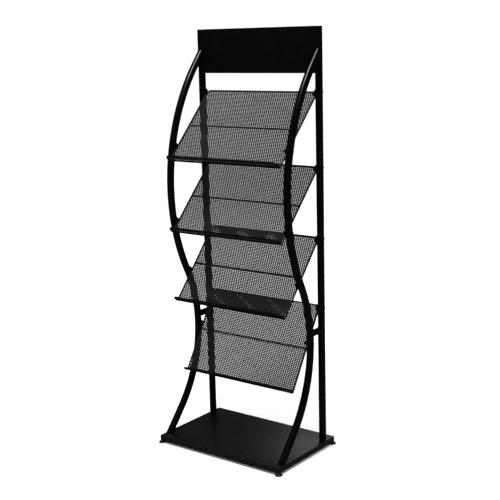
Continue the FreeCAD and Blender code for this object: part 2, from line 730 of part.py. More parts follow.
def make_shelf_mesh(shelf):
    """Expanded metal on top of the rods, bent up with the lip: two holed faces and a plain bend."""
    across, sheet_thickness = size("rod_x"), size("mesh_sheet")
    floor = size("rod_z") + size("rod_radius")
    wall = size("lip_rod_y") + size("rod_radius")
    bend = size("bend_radius") - size("rod_radius")
    back, top = size("back_rod_y"), size("lip_rod_z")
    columns, rows = int(size("mesh_columns")), int(size("mesh_rows"))
    back_corner, lip_corner = size("back_corner"), size("lip_corner")

    def holed_face(near, far, up, corner, border, row_count):
        """A face from its edge at the bend to its far edge, whose two corners are round."""
        left, right = near - X_AXIS * across, near + X_AXIS * across
        length = (far - near).Length
        turn = corner * (1 - math.sqrt(0.5))
        right_arc = Part.Arc(
            right + up * (length - corner),
            right + up * (length - turn) - X_AXIS * turn,
            right + up * length - X_AXIS * corner,
        )
        left_arc = Part.Arc(
            left + up * length + X_AXIS * corner,
            left + up * (length - turn) + X_AXIS * turn,
            left + up * (length - corner),
        )
        outline = Part.Wire([
            Part.LineSegment(left, right).toShape(),
            Part.LineSegment(right, right_arc.StartPoint).toShape(),
            right_arc.toShape(),
            Part.LineSegment(right_arc.EndPoint, left_arc.StartPoint).toShape(),
            left_arc.toShape(),
            Part.LineSegment(left_arc.EndPoint, left).toShape(),
        ])
        width, height = 2 * (across - border), length - 2 * border
        field = left + X_AXIS * border + up * border
        holes = diamond_holes(field, X_AXIS, up, width, height, columns, row_count)
        return Part.makeFace([outline] + holes, "Part::FaceMakerBullseye")

    bend_edge = Vector(0, wall + bend, floor)
    back_edge = Vector(0, back, floor)
    main_border = size("mesh_border")
    main = holed_face(bend_edge, back_edge, Vector(0, 1, 0), back_corner, main_border, rows)
    lip_edge = Vector(0, wall, floor + bend)
    lip_top = Vector(0, wall, top)
    lip = holed_face(lip_edge, lip_top, Vector(0, 0, 1), lip_corner, size("lip_border"), 2)
    centre = Vector(-across, wall + bend, floor + bend)
    outer = Part.makeCylinder(bend, 2 * across, centre, X_AXIS)
    inner = Part.makeCylinder(bend - sheet_thickness, 2 * across, centre, X_AXIS)
    quarter = Part.makeBox(2 * across, bend, bend, Vector(-across, wall, floor))
    turned = outer.cut(inner).common(quarter)
    mesh = doc.addObject("Part::Feature", f"shelf_{shelf}_mesh")
    mesh.Label = f"shelf_{shelf}_mesh"
    main_panel = main.extrude(Vector(0, 0, sheet_thickness))
    lip_panel = lip.extrude(Vector(0, sheet_thickness, 0))
    mesh.Shape = main_panel.fuse([turned, lip_panel]).removeSplitter().Solids[0]
    seat_on_shelf(mesh, shelf)
    pieces.append(mesh)


def make_shelf_cross_rod(shelf):
    body = add_body(f"shelf_{shelf}_cross_rod")
    seat_on_shelf(body, shelf)
    section = sketch_on(body, "YZ_Plane", "section")
    add_circle(section, "cross_rod_y", "rod_z", "rod_radius")
    add_circle(section, "front_rod_y", "front_rod_z", "rod_radius")
    pad(body, section, "cross_rod_length", both_ways=True)


def make_shelf_tabs(shelf):
    body = add_body(f"shelf_{shelf}_tabs")
    seat_on_shelf(body, shelf)
    plates = sketch_on(body, "YZ_Plane", "plates", "tab_inner_x")
    add_rounded_rectangle(plates, "-rear_tab_reach", "tab_edge", "tab_low_z", "tab_edge", "tab_corner")
    front, back = f"front_tab_front_{shelf}", f"front_tab_back_{shelf}"
    add_rounded_rectangle(plates, front, back, "tab_low_z", "tab_edge", "tab_corner")
    add_circle(plates, None, None, "bolt_hole")
    add_circle(plates, f"-bolt_span_{shelf}", None, "bolt_hole")
    pad(body, plates, "tab_thickness")
    mirror_across(body)


def make_shelf_bolts(shelf):
    body = add_body(f"shelf_{shelf}_bolts")
    seat_on_shelf(body, shelf)
    heads = sketch_on(body, "YZ_Plane", "heads", "bolt_head_x")
    shanks = sketch_on(body, "YZ_Plane", "shanks", "bolt_head_x")
    sockets = sketch_on(body, "YZ_Plane", "sockets", "bolt_head_x + bolt_head_rise")
    for down_slope in (None, f"-bolt_span_{shelf}"):
        add_circle(heads, down_slope, None, "bolt_head_radius")
        add_circle(shanks, down_slope, None, "bolt_radius")
        add_hexagon(sockets, down_slope, None, "bolt_socket")
    pad(body, heads, "bolt_head_rise")
    pad(body, shanks, "bolt_length", reverse=True)
    pocket(body, sockets, "bolt_socket_depth")
    mirror_across(body)


def make_shelf_nuts(shelf):
    body = add_body(f"shelf_{shelf}_nuts")
    seat_on_shelf(body, shelf)
    nuts = sketch_on(body, "YZ_Plane", "nuts", "nut_outer_x")
    for down_slope in (None, f"-bolt_span_{shelf}"):
        add_hexagon(nuts, down_slope, None, "nut_width")
        add_circle(nuts, down_slope, None, "thread_radius")
    pad(body, nuts, "nut_thickness", reverse=True)
    mirror_across(body)


# Levelling feet

def make_foot_pad(corner, across, back):
    body = add_body(f"{corner}_foot_pad", across + "foot_x", back + "foot_y")
    profile = sketch_on(body, "XZ_Plane", "profile")
    add_outline(profile, [
        (None, None),
        ("pad_foot_radius", None),
        ("pad_radius", "pad_bottom_edge"),
        ("pad_radius", "pad_rim"),
        ("pad_crown_radius", "pad_thickness"),
        ("socket_radius", "pad_thickness"),
        ("socket_radius", "socket_floor"),
        (None, "socket_floor"),
    ])
    revolve(body, profile)


def make_foot_stud(corner, across, back):
    body = add_body(f"{corner}_foot_stud", across + "foot_x", back + "foot_y")
    spigot = sketch_on(body, "XY_Plane", "spigot", "spigot_bottom")
    add_circle(spigot, None, None, "spigot_radius")
    pad(body, spigot, "spigot_length")
    collar = sketch_on(body, "XY_Plane", "collar", "collar_bottom")
    add_hexagon(collar, None, None, "collar_width")
    pad(body, collar, "collar_thickness")
    screw = sketch_on(body, "XY_Plane", "screw", "collar_top")
    add_circle(screw, None, None, "stud_radius")
    pad(body, screw, "stud_length")


make_base_tray()
make_corner_bushes()
make_base_bolts()
for side_name, side_sign in SIDES.items():
    make_upright(side_name, side_sign)
    make_upright_cap(side_name, side_sign)
    make_front_tube(side_name, side_sign)
    make_bridge_stub(side_name, side_sign)
make_upright_foot_plugs()
make_front_foot_plugs()
make_header_panel()
make_header_screws()
for shelf in SHELVES:
    make_shelf_rim(shelf)
    make_shelf_mesh(shelf)
    make_shelf_cross_rod(shelf)
    make_shelf_tabs(shelf)
    make_shelf_bolts(shelf)
    make_shelf_nuts(shelf)
for corner_name, (across_sign, back_sign) in CORNERS.items():
    make_foot_pad(corner_name, across_sign, back_sign)
    make_foot_stud(corner_name, across_sign, back_sign)
doc.recompute()

for thing in doc.Objects:
    if "Invalid" in thing.State or "Error" in thing.State:
        raise RuntimeError(f"{thing.Name} failed: {thing.State}")
for piece in pieces:
    if piece.Shape.isNull() or not piece.Shape.isValid():
        raise RuntimeError(f"{piece.Label} has no valid shape")

os.makedirs("parts", exist_ok=True)
for piece in pieces:
    piece.Shape.exportStep(f"parts/{piece.Label}.step")
    box = piece.Shape.BoundBox
    print(piece.Label, len(piece.Shape.Solids), round(piece.Shape.Volume, 1), box)
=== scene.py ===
import math

import bmesh
import bpy
from mathutils import Matrix, Vector


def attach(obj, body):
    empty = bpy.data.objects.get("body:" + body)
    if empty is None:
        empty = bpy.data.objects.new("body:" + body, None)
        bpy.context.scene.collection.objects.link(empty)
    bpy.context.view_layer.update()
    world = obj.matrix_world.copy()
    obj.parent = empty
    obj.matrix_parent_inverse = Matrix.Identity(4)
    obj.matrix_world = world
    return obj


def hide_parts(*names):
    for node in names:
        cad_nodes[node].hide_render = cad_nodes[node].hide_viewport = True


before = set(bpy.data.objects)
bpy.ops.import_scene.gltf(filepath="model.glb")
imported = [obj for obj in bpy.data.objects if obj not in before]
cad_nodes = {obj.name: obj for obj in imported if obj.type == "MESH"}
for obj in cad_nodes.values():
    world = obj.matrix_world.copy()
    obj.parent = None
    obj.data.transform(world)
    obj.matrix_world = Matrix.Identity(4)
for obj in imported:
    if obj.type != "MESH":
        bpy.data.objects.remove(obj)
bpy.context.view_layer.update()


# Base tray: one sheet of steel pressed into a shallow tray, its rim turned down to hide the feet.
# The flat top is powder coated with the rest, and a little smoother than the tubes.

BASE_WIDTH = 0.500
BASE_DEPTH = 0.322
BASE_UNDER = 0.009
BASE_TOP = 0.026
BASE_CORNER = 0.006
BASE_CORNER_STEPS = 8
BASE_EDGE = 0.002
BASE_EDGE_STEPS = 4
BASE_SHEET = 0.0015
SQUARE_ON = 0.99
SAME_PLACE = 1e-6
SPRAY_NOISE = {"scale": 26, "detail": 4}
SPRAY_SPREAD = (0.35, 0.70)
SHEEN_NOISE = {"scale": 90, "detail": 3}
SHEEN_SPREAD = (0.3, 0.7)
SHEEN_SMOOTHER = 0.05
SHEEN_ROUGHER = 0.06
PEEL_NOISE = {"scale": 650, "detail": 2}
PEEL_DEPTH = 0.0003
ALONG_X = Vector((1, 0, 0))
ALONG_Y = Vector((0, 1, 0))
ALONG_Z = Vector((0, 0, 1))
SMOOTH_UNDER = math.radians(35)


def powder_coat(name, dark, pale, roughness, gloss=0.35, peel=0.12):
    """Black powder coat: fine orange peel, and a slow drift in shade and sheen from the spray."""
    coat = bpy.data.materials.new(name)
    coat.use_nodes = True
    tree = coat.node_tree
    shader = tree.nodes["Principled BSDF"]
    shader.inputs["Specular IOR Level"].default_value = gloss
    place = tree.nodes.new("ShaderNodeTexCoord")

    def noise(scale, detail):
        grain = tree.nodes.new("ShaderNodeTexNoise")
        grain.inputs["Scale"].default_value = scale
        grain.inputs["Detail"].default_value = detail
        tree.links.new(place.outputs["Object"], grain.inputs["Vector"])
        return grain.outputs["Fac"]

    spray = tree.nodes.new("ShaderNodeValToRGB")
    spray.color_ramp.elements[0].position = SPRAY_SPREAD[0]
    spray.color_ramp.elements[1].position = SPRAY_SPREAD[1]
    spray.color_ramp.elements[0].color = (*dark, 1)
    spray.color_ramp.elements[1].color = (*pale, 1)
    tree.links.new(noise(**SPRAY_NOISE), spray.inputs["Fac"])
    tree.links.new(spray.outputs["Color"], shader.inputs["Base Color"])
    sheen = tree.nodes.new("ShaderNodeMapRange")
    sheen.inputs["From Min"].default_value = SHEEN_SPREAD[0]
    sheen.inputs["From Max"].default_value = SHEEN_SPREAD[1]
    sheen.inputs["To Min"].default_value = roughness - SHEEN_SMOOTHER
    sheen.inputs["To Max"].default_value = roughness + SHEEN_ROUGHER
    tree.links.new(noise(**SHEEN_NOISE), sheen.inputs["Value"])
    tree.links.new(sheen.outputs["Result"], shader.inputs["Roughness"])
    skin = tree.nodes.new("ShaderNodeBump")
    skin.inputs["Strength"].default_value = peel
    skin.inputs["Distance"].default_value = PEEL_DEPTH
    tree.links.new(noise(**PEEL_NOISE), skin.inputs["Height"])
    tree.links.new(skin.outputs["Normal"], shader.inputs["Normal"])
    return coat


def make_piece(name, shape, finish, slot, body, *stands_for, smooth=True):
    """Turn a bmesh into a piece that rides on a body and stands for CAD nodes."""
    mesh = bpy.data.meshes.new(name)
    shape.to_mesh(mesh)
    shape.free()
    if smooth:
        mesh.shade_smooth()
        mesh.set_sharp_from_angle(angle=SMOOTH_UNDER)
    mesh.materials.append(finish)
    piece = bpy.data.objects.new(name, mesh)
    bpy.context.scene.collection.objects.link(piece)
    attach(piece, body)
    if stands_for:
        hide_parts(*stands_for)
    return piece


def bevel(shape, edges, width, segments):
    """Round edges evenly, as a press or a wheel leaves them."""
    bmesh.ops.bevel(
        shape,
        geom=edges,
        offset=width,
        segments=segments,
        profile=0.5,
        affect="EDGES",
        material=-1,
        clamp_overlap=True,
    )


def edges_where(shape, wanted):
    """The edges whose two ends both pass a test."""
    return [edge for edge in shape.edges if all(wanted(vert.co) for vert in edge.verts)]


def upright_edges(shape):
    """The edges that stand straight up."""
    return [
        edge for edge in shape.edges
        if abs((edge.verts[0].co - edge.verts[1].co).normalized().z) > SQUARE_ON
    ]


tray_coat = powder_coat(
    "smooth black powder coat",
    (0.0030, 0.0030, 0.0032),
    (0.0042, 0.0042, 0.0044),
    0.30,
    gloss=0.32,
    peel=0.02,
)
tray = bmesh.new()
tray_middle = Vector((0, 0, (BASE_UNDER + BASE_TOP) / 2))
tray_size = Matrix.Diagonal((BASE_WIDTH, BASE_DEPTH, BASE_TOP - BASE_UNDER, 1))
bmesh.ops.create_cube(tray, size=1, matrix=Matrix.Translation(tray_middle) @ tray_size)
bevel(tray, upright_edges(tray), BASE_CORNER, BASE_CORNER_STEPS)
top_edges = edges_where(tray, lambda co: co.z > BASE_TOP - SAME_PLACE)
bevel(tray, top_edges, BASE_EDGE, BASE_EDGE_STEPS)
floor_faces = [face for face in tray.faces if face.normal.z < -SQUARE_ON]
bmesh.ops.delete(tray, geom=floor_faces, context="FACES_ONLY")
bmesh.ops.solidify(tray, geom=tray.faces[:], thickness=BASE_SHEET)
bmesh.ops.recalc_face_normals(tray, faces=tray.faces[:])
make_piece("base_pressing", tray, tray_coat, "black_powder_coat", "frame", "base_tray")


# Uprights: two plain round tubes, plumb, drawn down on to the base by bolts from below and closed by
# a moulded cap at the top. The rest of the side frame hangs on them.

TUBE_X = 0.235
TUBE_RADIUS = 0.012
TUBE_SIDES = 48
UPRIGHT_Y = 0.110
UPRIGHT_TOP = 1.373
SIDES = {"left": -1, "right": 1}


def start_rod(shape, radius, place, along, sides):
    """A ring of edges at the start of a rod, square to the way it will be drawn."""
    turn = along.to_track_quat("Z", "Y").to_matrix().to_4x4()
    ring = bmesh.ops.create_circle(
        shape, segments=sides, radius=radius, matrix=Matrix.Translation(place) @ turn
    )
    return list({edge for vert in ring["verts"] for edge in vert.link_edges})


def draw_straight(shape, ring, step):
    """Draw a ring out in a straight run, and give the ring at its end."""
    drawn = bmesh.ops.extrude_edge_only(shape, edges=ring)["geom"]
    verts = [thing for thing in drawn if isinstance(thing, bmesh.types.BMVert)]
    bmesh.ops.translate(shape, vec=step, verts=verts)
    new = set(verts)
    return [
        thing for thing in drawn
        if isinstance(thing, bmesh.types.BMEdge) and new.issuperset(thing.verts)
    ]


def draw_bend(shape, ring, centre, axis, angle, steps):
    """Draw a ring round a bend, and give the ring at its end."""
    verts = list({vert for edge in ring for vert in edge.verts})
    bent = bmesh.ops.spin(
        shape,
        geom=verts + ring,
        cent=centre,
        axis=axis,
        angle=angle,
        steps=steps,
        use_duplicate=False,
    )
    return [thing for thing in bent["geom_last"] if isinstance(thing, bmesh.types.BMEdge)]


tube_coat = powder_coat(
    "black powder coat", (0.0006, 0.0006, 0.0007), (0.0011, 0.0011, 0.0012), 0.22, gloss=0.22
)
for side, sign in SIDES.items():
    upright = bmesh.new()
    foot = Vector((sign * TUBE_X, UPRIGHT_Y, BASE_TOP))
    ring = start_rod(upright, TUBE_RADIUS, foot, ALONG_Z, TUBE_SIDES)
    draw_straight(upright, ring, ALONG_Z * (UPRIGHT_TOP - BASE_TOP))
    bmesh.ops.holes_fill(upright, edges=upright.edges[:], sides=0)
    bmesh.ops.recalc_face_normals(upright, faces=upright.faces[:])
    make_piece(
        f"{side}_upright_tube", upright, tube_coat, "black_powder_coat", "frame", f"{side}_upright"
    )


# Upright caps: moulded plugs pressed into the tubes, with a low crown that ends flush with the
# header. The mould leaves them duller than the coat beside them.

CAP_TOP = 1.376
CAP_EDGE = 0.0015
MOULD_GRAIN = 0.00015


def turn_profile(shape, outline, place, along, steps):
    """Turn an outline of (radius, height) points round an axis, as on a lathe."""
    turn = Matrix.Translation(place) @ along.to_track_quat("Z", "Y").to_matrix().to_4x4()
    verts = [shape.verts.new(turn @ Vector((radius, 0, height))) for radius, height in outline]
    edges = [shape.edges.new(pair) for pair in zip(verts, verts[1:])]
    bmesh.ops.spin(
        shape,
        geom=verts + edges,
        cent=place,
        axis=along,
        angle=math.tau,
        steps=steps,
        use_merge=True,
        use_duplicate=False,
    )


def close_turning(shape):
    """Merge the pole points of a turned shape and point its faces outwards."""
    bmesh.ops.remove_doubles(shape, verts=shape.verts[:], dist=SAME_PLACE)
    bmesh.ops.recalc_face_normals(shape, faces=shape.faces[:])


def moulded_plastic(name, dark, pale, roughness):
    """Black moulded plastic with a fine spark-eroded grain."""
    plastic = powder_coat(name, dark, pale, roughness, gloss=0.3, peel=0.3)
    grain = [node for node in plastic.node_tree.nodes if node.type == "BUMP"]
    grain[0].inputs["Distance"].default_value = MOULD_GRAIN
    return plastic


cap_plastic = moulded_plastic(
    "black moulded plastic", (0.0040, 0.0040, 0.0042), (0.0065, 0.0065, 0.0068), 0.45
)
CAP_OUTLINE = [
    (0.0, CAP_TOP),
    (0.0055, CAP_TOP - 0.0001),
    (TUBE_RADIUS - CAP_EDGE, CAP_TOP - 0.0003),
    (TUBE_RADIUS - CAP_EDGE * 0.45, CAP_TOP - 0.0007),
    (TUBE_RADIUS - CAP_EDGE * 0.10, CAP_TOP - 0.0014),
    (TUBE_RADIUS, CAP_TOP - 0.0020),
    (TUBE_RADIUS, UPRIGHT_TOP + 0.0003),
    (TUBE_RADIUS - 0.0006, UPRIGHT_TOP),
    (0.0, UPRIGHT_TOP),
]
for side, sign in SIDES.items():
    cap = bmesh.new()
    turn_profile(cap, CAP_OUTLINE, Vector((sign * TUBE_X, UPRIGHT_Y, 0)), ALONG_Z, TUBE_SIDES)
    close_turning(cap)
    make_piece(
        f"{side}_end_cap", cap, cap_plastic, "black_plastic", "frame", f"{side}_upright_cap"
    )


# Front tubes: the same tube bent twice into a long S, out over the shelves and in at the waist.
# The foot is cut level for the base, and the top is mitred to the round of the upright and welded.

CROWN = Vector((0, 0.555, 0.859))
CROWN_RADIUS = 0.626
WAIST = Vector((0, -0.382, 0.38073752))
WAIST_RADIUS = 0.426
FRONT_FOOT = Vector((0, -0.126, BASE_TOP))
FRONT_TOP = Vector((0, UPRIGHT_Y, 1.303))
BEND_STEPS = 56
WELD_BEAD = 0.0011
BEAD_STEPS = 3
MITRE_STEP = 6
ON_CUT = 1e-7


def touch_angle(point, centre, radius):
    """Angle on a bend, in the side plane, where the straight from a point runs on to it."""
    out = point - centre
    return math.atan2(out.z, out.y) + math.acos(radius / out.length)


def on_bend(centre, radius, angle):
    """The point of a bend's centre line at an angle, in the side plane."""
    return centre + Vector((0, math.cos(angle), math.sin(angle))) * radius


def weld_bead(name, paths, radius, closed=True):
    """A ground weld: a thin bead along the line where two pieces meet, coated over."""
    curve = bpy.data.curves.new(name, "CURVE")
    curve.dimensions = "3D"
    curve.bevel_depth = radius
    curve.bevel_resolution = BEAD_STEPS
    curve.use_fill_caps = not closed
    for path in paths:
        line = curve.splines.new("POLY")
        line.points.add(len(path) - 1)
        for point, place in zip(line.points, path):
            point.co = (*place, 1)
        line.use_cyclic_u = closed
    drawn = bpy.data.objects.new(name, curve)
    bead = bmesh.new()
    bead.from_mesh(bpy.data.meshes.new_from_object(drawn))
    bpy.data.objects.remove(drawn)
    bpy.data.curves.remove(curve)
    bmesh.ops.remove_doubles(bead, verts=bead.verts[:], dist=SAME_PLACE)
    bmesh.ops.recalc_face_normals(bead, faces=bead.faces[:])
    return make_piece(name, bead, tube_coat, "black_powder_coat", "frame")


def crop(shape, point, way, among=lambda co: True):
    """Shear a shape along a plane and drop what lies beyond, among points that pass a test."""
    verts = [vert for vert in shape.verts if among(vert.co)]
    kept = set(verts)
    edges = [edge for edge in shape.edges if kept.issuperset(edge.verts)]
    faces = [face for face in shape.faces if kept.issuperset(face.verts)]
    bmesh.ops.bisect_plane(
        shape,
        geom=verts + edges + faces,
        dist=ON_CUT,
        plane_co=point,
        plane_no=way,
        clear_outer=True,
    )


foot_turn = touch_angle(FRONT_FOOT, WAIST, WAIST_RADIUS)
top_turn = touch_angle(FRONT_TOP, CROWN, CROWN_RADIUS)
change_turn = math.atan2(CROWN.z - WAIST.z, CROWN.y - WAIST.y)
waist_start = on_bend(WAIST, WAIST_RADIUS, foot_turn)
crown_end = on_bend(CROWN, CROWN_RADIUS, top_turn)
foot_way = (waist_start - FRONT_FOOT).normalized()
top_way = (FRONT_TOP - crown_end).normalized()
foot_start = FRONT_FOOT - foot_way * (2 * TUBE_RADIUS)
mitre_ways = ((top_way + ALONG_Z).normalized(), (top_way - ALONG_Z).normalized())
half_mitre = top_way.angle(ALONG_Z) / 2
for side, sign in SIDES.items():
    across = ALONG_X * (sign * TUBE_X)
    front = bmesh.new()
    ring = start_rod(front, TUBE_RADIUS, foot_start + across, foot_way, TUBE_SIDES)
    ring = draw_straight(front, ring, waist_start - foot_start)
    ring = draw_bend(front, ring, WAIST + across, ALONG_X, change_turn - foot_turn, BEND_STEPS)
    crown_angle = top_turn - change_turn - math.pi
    ring = draw_bend(front, ring, CROWN + across, ALONG_X, crown_angle, BEND_STEPS)
    draw_straight(front, ring, top_way * ((FRONT_TOP - crown_end).length + 2 * TUBE_RADIUS))
    crop(front, FRONT_FOOT + across, -ALONG_Z)
    for way in mitre_ways:
        crop(front, FRONT_TOP + across, way, lambda co: co.z > crown_end.z - TUBE_RADIUS)
    bmesh.ops.remove_doubles(front, verts=front.verts[:], dist=SAME_PLACE)
    bmesh.ops.recalc_face_normals(front, faces=front.faces[:])
    make_piece(
        f"{side}_bent_tube", front, tube_coat, "black_powder_coat", "frame", f"{side}_front_tube"
    )
    lower = [
        FRONT_TOP + across + ALONG_X * (TUBE_RADIUS * math.cos(math.radians(a)))
        - mitre_ways[0] * (TUBE_RADIUS / math.sin(half_mitre) * math.sin(math.radians(a)))
        for a in range(0, 180, MITRE_STEP)
    ]
    upper = [
        FRONT_TOP + across + ALONG_X * (TUBE_RADIUS * math.cos(math.radians(a)))
        + mitre_ways[1] * (TUBE_RADIUS / math.cos(half_mitre) * math.sin(math.radians(a)))
        for a in range(180, 360, MITRE_STEP)
    ]
    weld_bead(f"{side}_mitre_weld", [lower + upper], WELD_BEAD)


# Bridge stubs: short lengths of tube just above the waist, saddle-cut at both ends and welded
# between the bent tube and the upright.

STUB_RADIUS = 0.011
STUB_SIDES = 40
STUB_HEIGHT = 0.409
STUB_SINK = 0.004
SADDLE_STEP = 9


def bend_depth(height):
    """How far back the bent tube's centre line stands, round the waist."""
    return WAIST.y + math.sqrt(WAIST_RADIUS ** 2 - (height - WAIST.z) ** 2)


for side, sign in SIDES.items():
    stub = bmesh.new()
    start = Vector((sign * TUBE_X, bend_depth(STUB_HEIGHT) + STUB_SINK, STUB_HEIGHT))
    ring = start_rod(stub, STUB_RADIUS, start, ALONG_Y, STUB_SIDES)
    draw_straight(stub, ring, ALONG_Y * (UPRIGHT_Y - STUB_SINK - start.y))
    bmesh.ops.recalc_face_normals(stub, faces=stub.faces[:])
    make_piece(
        f"{side}_bridge_tube", stub, tube_coat, "black_powder_coat", "frame", f"{side}_bridge_stub"
    )
    front_saddle = []
    rear_saddle = []
    for angle in range(0, 360, SADDLE_STEP):
        out_x = STUB_RADIUS * math.cos(math.radians(angle))
        height = STUB_HEIGHT + STUB_RADIUS * math.sin(math.radians(angle))
        on_tube = math.sqrt(TUBE_RADIUS ** 2 - out_x ** 2)
        front_saddle.append(Vector((sign * TUBE_X + out_x, bend_depth(height) + on_tube, height)))
        rear_saddle.append(Vector((sign * TUBE_X + out_x, UPRIGHT_Y - on_tube, height)))
    weld_bead(f"{side}_bridge_welds", [front_saddle, rear_saddle], WELD_BEAD)


# Header: a sheet folded back on all four sides into a shallow tray, bare on its face, and screwed
# through its end folds into the uprights.

HEADER_HALF_WIDTH = 0.22295
HEADER_HEIGHT = 0.144
HEADER_DEPTH = 0.012
HEADER_SHEET = 0.0012
HEADER_FOLD = 0.001
HEADER_FOLD_STEPS = 4
header_coat = powder_coat(
    "flat black powder coat", (0.0012, 0.0012, 0.0013), (0.0017, 0.0017, 0.0018), 0.36, gloss=0.08
)
header = bmesh.new()
header_middle = Vector((0, UPRIGHT_Y, CAP_TOP - HEADER_HEIGHT / 2))
header_size = Matrix.Diagonal((2 * HEADER_HALF_WIDTH, HEADER_DEPTH, HEADER_HEIGHT, 1))
bmesh.ops.create_cube(header, size=1, matrix=Matrix.Translation(header_middle) @ header_size)
open_back = [face for face in header.faces if face.normal.y > SQUARE_ON]
bmesh.ops.delete(header, geom=open_back, context="FACES_ONLY")
folds = [edge for edge in header.edges if len(edge.link_faces) == 2]
bevel(header, folds, HEADER_FOLD, HEADER_FOLD_STEPS)
bmesh.ops.solidify(header, geom=header.faces[:], thickness=HEADER_SHEET)
bmesh.ops.recalc_face_normals(header, faces=header.faces[:])
make_piece("header_tray", header, header_coat, "black_powder_coat", "frame", "header_panel")


# Shelf rims: one steel rod bent into a closed loop, with wide bends at the back and the front turned
# up as a lip. Two straight rods are welded across it: one in the middle and one along the fold.

UPRIGHT_BOLTS = {1: 1.174, 2: 0.939, 3: 0.711, 4: 0.4835}
TILTS = {1: 45.7785, 2: 46.1425, 3: 48.6255, 4: 57.5497}
BOLT_SPANS = {1: 0.234424, 2: 0.249631, 3: 0.174572, 4: 0.123007}
ROD_RADIUS = 0.003
ROD_SIDES = 24
ROD_X = 0.21995
ROD_Z = -0.010
BACK_Y = 0.0075
LIP_Y = -0.293
LIP_Z = 0.015
BACK_BEND = 0.016
FRONT_BEND = 0.006
LIP_BEND = 0.010
ROD_STEPS = 10
CROSS_Y = -0.143
FOLD_INSET = 0.00172
FOLD_ROD = (LIP_Y + FOLD_INSET, ROD_Z + FOLD_INSET)
LOOP_CLOSE = 1e-5
QUARTER = math.pi / 2
shelf_seats = {
    shelf: Matrix.Translation((0, UPRIGHT_Y, height))
    @ Matrix.Rotation(math.radians(TILTS[shelf]), 4, "X")
    for shelf, height in UPRIGHT_BOLTS.items()
}


def bend_rim():
    """The rim in the shelf's own axes, drawn once round from the middle of the back."""
    rim = bmesh.new()
    ring = start_rod(rim, ROD_RADIUS, Vector((0, BACK_Y, ROD_Z)), ALONG_X, ROD_SIDES)
    ring = draw_straight(rim, ring, ALONG_X * (ROD_X - BACK_BEND))
    centre = Vector((ROD_X - BACK_BEND, BACK_Y - BACK_BEND, ROD_Z))
    ring = draw_bend(rim, ring, centre, ALONG_Z, -QUARTER, ROD_STEPS)
    side_run = ALONG_Y * (LIP_Y + FRONT_BEND - BACK_Y + BACK_BEND)
    ring = draw_straight(rim, ring, side_run)
    centre = Vector((ROD_X, LIP_Y + FRONT_BEND, ROD_Z + FRONT_BEND))
    ring = draw_bend(rim, ring, centre, ALONG_X, -QUARTER, ROD_STEPS)
    lip_run = ALONG_Z * (LIP_Z - LIP_BEND - ROD_Z - FRONT_BEND)
    ring = draw_straight(rim, ring, lip_run)
    centre = Vector((ROD_X - LIP_BEND, LIP_Y, LIP_Z - LIP_BEND))
    ring = draw_bend(rim, ring, centre, ALONG_Y, -QUARTER, ROD_STEPS)
    ring = draw_straight(rim, ring, ALONG_X * (-2 * (ROD_X - LIP_BEND)))
    centre = Vector((LIP_BEND - ROD_X, LIP_Y, LIP_Z - LIP_BEND))
    ring = draw_bend(rim, ring, centre, ALONG_Y, -QUARTER, ROD_STEPS)
    ring = draw_straight(rim, ring, -lip_run)
    centre = Vector((-ROD_X, LIP_Y + FRONT_BEND, ROD_Z + FRONT_BEND))
    ring = draw_bend(rim, ring, centre, ALONG_X, QUARTER, ROD_STEPS)
    ring = draw_straight(rim, ring, -side_run)
    centre = Vector((BACK_BEND - ROD_X, BACK_Y - BACK_BEND, ROD_Z))
    ring = draw_bend(rim, ring, centre, ALONG_Z, -QUARTER, ROD_STEPS)
    draw_straight(rim, ring, ALONG_X * (ROD_X - BACK_BEND))
    bmesh.ops.remove_doubles(rim, verts=rim.verts[:], dist=LOOP_CLOSE)
    bmesh.ops.recalc_face_normals(rim, faces=rim.faces[:])
    return rim


for shelf, seat in shelf_seats.items():
    rim = bend_rim()
    bmesh.ops.transform(rim, matrix=seat, verts=rim.verts[:])
    make_piece(
        f"shelf_{shelf}_rod_loop",
        rim,
        tube_coat,
        "black_powder_coat",
        "frame",
        f"shelf_{shelf}_rim",
    )
    cross = bmesh.new()
    cross_half = ROD_X - ROD_RADIUS / 2
    for rod_y, rod_z in ((CROSS_Y, ROD_Z), FOLD_ROD):
        end = Vector((-cross_half, rod_y, rod_z))
        ring = start_rod(cross, ROD_RADIUS, end, ALONG_X, ROD_SIDES)
        draw_straight(cross, ring, ALONG_X * (2 * cross_half))
    bmesh.ops.recalc_face_normals(cross, faces=cross.faces[:])
    bmesh.ops.transform(cross, matrix=seat, verts=cross.verts[:])
    make_piece(
        f"shelf_{shelf}_straight_rods",
        cross,
        tube_coat,
        "black_powder_coat",
        "frame",
        f"shelf_{shelf}_cross_rod",
    )


# Shelf nets: steel sheet slit and pulled open into small diamonds, spot-welded on to the rods and
# turned up at the lip, with a plain margin along the fold. Pulling tips the strands over, so those
# on each side of an opening lean the same way.

CELL_WIDE = 0.0077
CELL_HIGH = 0.0111
STRAND_HALF = 0.00210
STRAND_LEAN = 0.0010
NET_SHEET = 0.0008
NET_FLOOR = ROD_Z + ROD_RADIUS
NET_BEND = FRONT_BEND - ROD_RADIUS
NET_BEND_Y = LIP_Y + FRONT_BEND
BEND_LENGTH = NET_BEND * QUARTER
NET_FRONT = NET_BEND_Y - BEND_LENGTH - (LIP_Z - NET_FLOOR - NET_BEND)
CORNER_CUTS = (15, 45, 75)
PLAIN_BEHIND = 0.003
PLAIN_ABOVE = 0.0055
MARGIN_BACK = NET_BEND_Y + PLAIN_BEHIND
MARGIN_FRONT = NET_BEND_Y - BEND_LENGTH - PLAIN_ABOVE
MARGIN_STEPS = 10
# The net's black coat gets a base colour well above the frame's. This is painted sheen, standing in
# for the white surround reflected off the strands' many facets.
painted_sheen_net_coat = powder_coat(
    "black coated net with painted sheen",
    (0.0110, 0.0110, 0.0113),
    (0.0150, 0.0150, 0.0154),
    0.55,
    gloss=0.05,
    peel=0.06,
)


